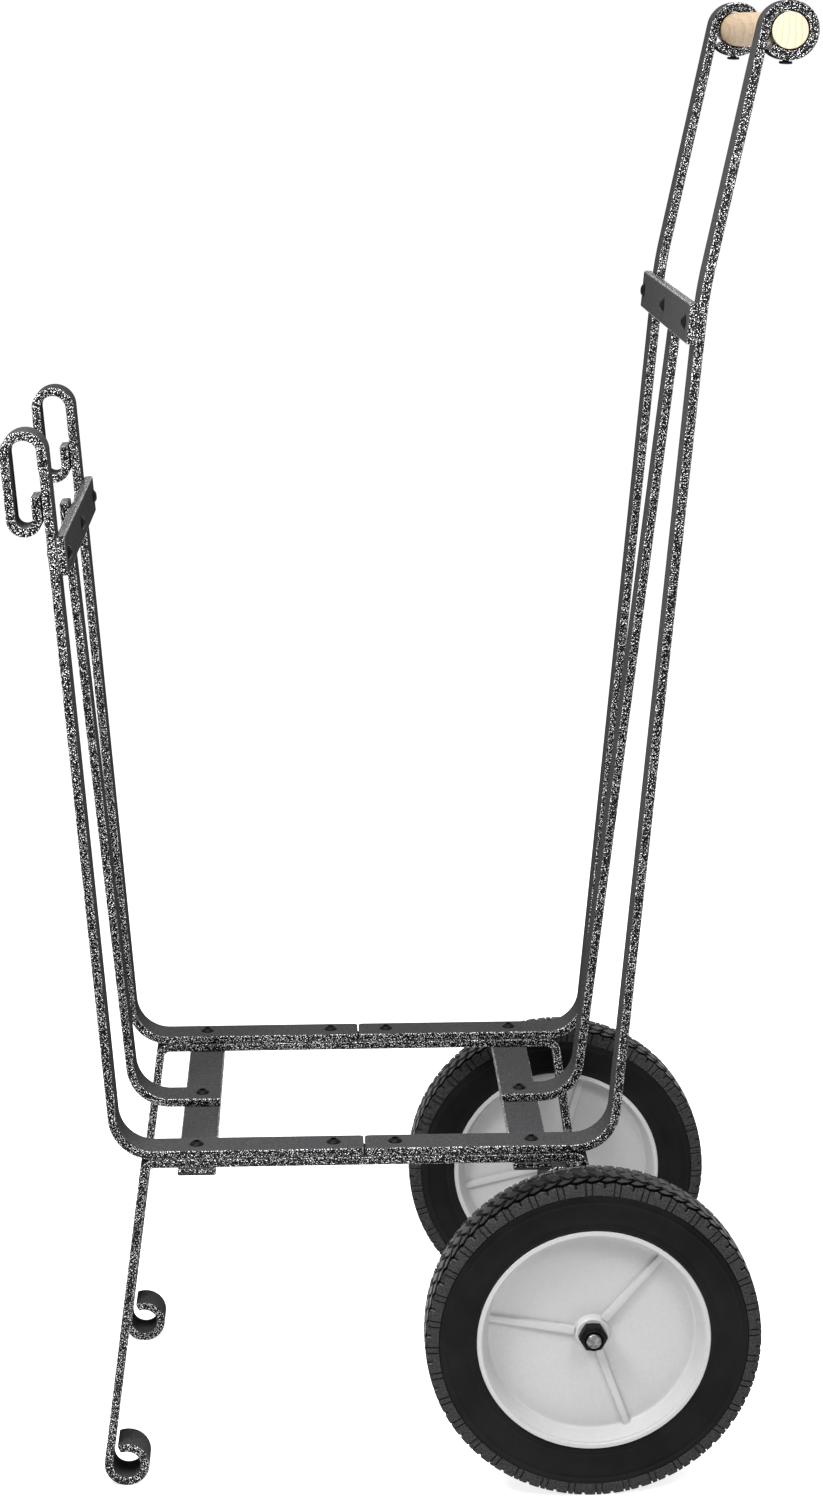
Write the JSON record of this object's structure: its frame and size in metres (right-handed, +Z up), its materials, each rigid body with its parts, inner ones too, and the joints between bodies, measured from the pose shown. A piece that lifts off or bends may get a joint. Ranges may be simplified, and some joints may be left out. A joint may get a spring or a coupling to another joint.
{
  "type": "fireside log cart",
  "caption": "Two-wheeled upright firewood carrier of bent flat bar: an open tray between tall hooked and handled ends, curled feet, and free-rolling wheels.",
  "frame": {"origin": "centre of the bounding box's bottom face, on the ground between feet and tyres", "axes": "+X towards the wheels and the handle, +Y to the right of someone who stands at the handle and faces the feet, +Z up"},
  "size_m": [0.582, 0.385, 1.0993],
  "materials": {
    "bar_metal": "hammered dark grey powder coat, brighter silver speckle on the edges",
    "screw_black": "black oxide, satin",
    "axle_steel": "bright zinc plate",
    "hub_plastic": "light grey, satin",
    "tyre_rubber": "black rubber, moulded tread",
    "handle_wood": "bare pale pine, sanded",
    "bush_plastic": "black, matt"
  },
  "bodies": {
    "root": {"front_upright_left": "bar_metal", "front_upright_right": "bar_metal", "rear_upright_left": "bar_metal", "rear_upright_right": "bar_metal", "front_middle_slat": "bar_metal", "rear_middle_slat": "bar_metal", "front_strap": "bar_metal", "rear_strap": "bar_metal", "leg_bar_left": "bar_metal", "leg_bar_right": "bar_metal", "front_cross_bar": "bar_metal", "rear_cross_bar": "bar_metal", "axle": "axle_steel", "axle_bushes": "bush_plastic", "axle_washers": "axle_steel", "axle_nuts": "screw_black", "handle_dowel": "handle_wood", "handle_screws": "screw_black", "rail_screws_long": "screw_black", "rail_screws_short": "screw_black", "slat_screws": "screw_black", "front_strap_screws": "screw_black", "rear_strap_screws": "screw_black"},
    "wheel_left": {"wheel_rim_left": "hub_plastic", "wheel_disc_left": "hub_plastic", "wheel_boss_left": "hub_plastic", "tyre_left": "tyre_rubber"},
    "wheel_right": {"wheel_rim_right": "hub_plastic", "wheel_disc_right": "hub_plastic", "wheel_boss_right": "hub_plastic", "tyre_right": "tyre_rubber"}
  },
  "joints": [
    {"name": "wheel_left_spin", "type": "hinge", "parent": "root", "child": "wheel_left", "pos_m": [0.11953, -0.1725, 0.127], "axis": [0, 1, 0], "continuous": true},
    {"name": "wheel_right_spin", "type": "hinge", "parent": "root", "child": "wheel_right", "pos_m": [0.11953, 0.1725, 0.127], "axis": [0, 1, 0], "continuous": true}
  ]
}
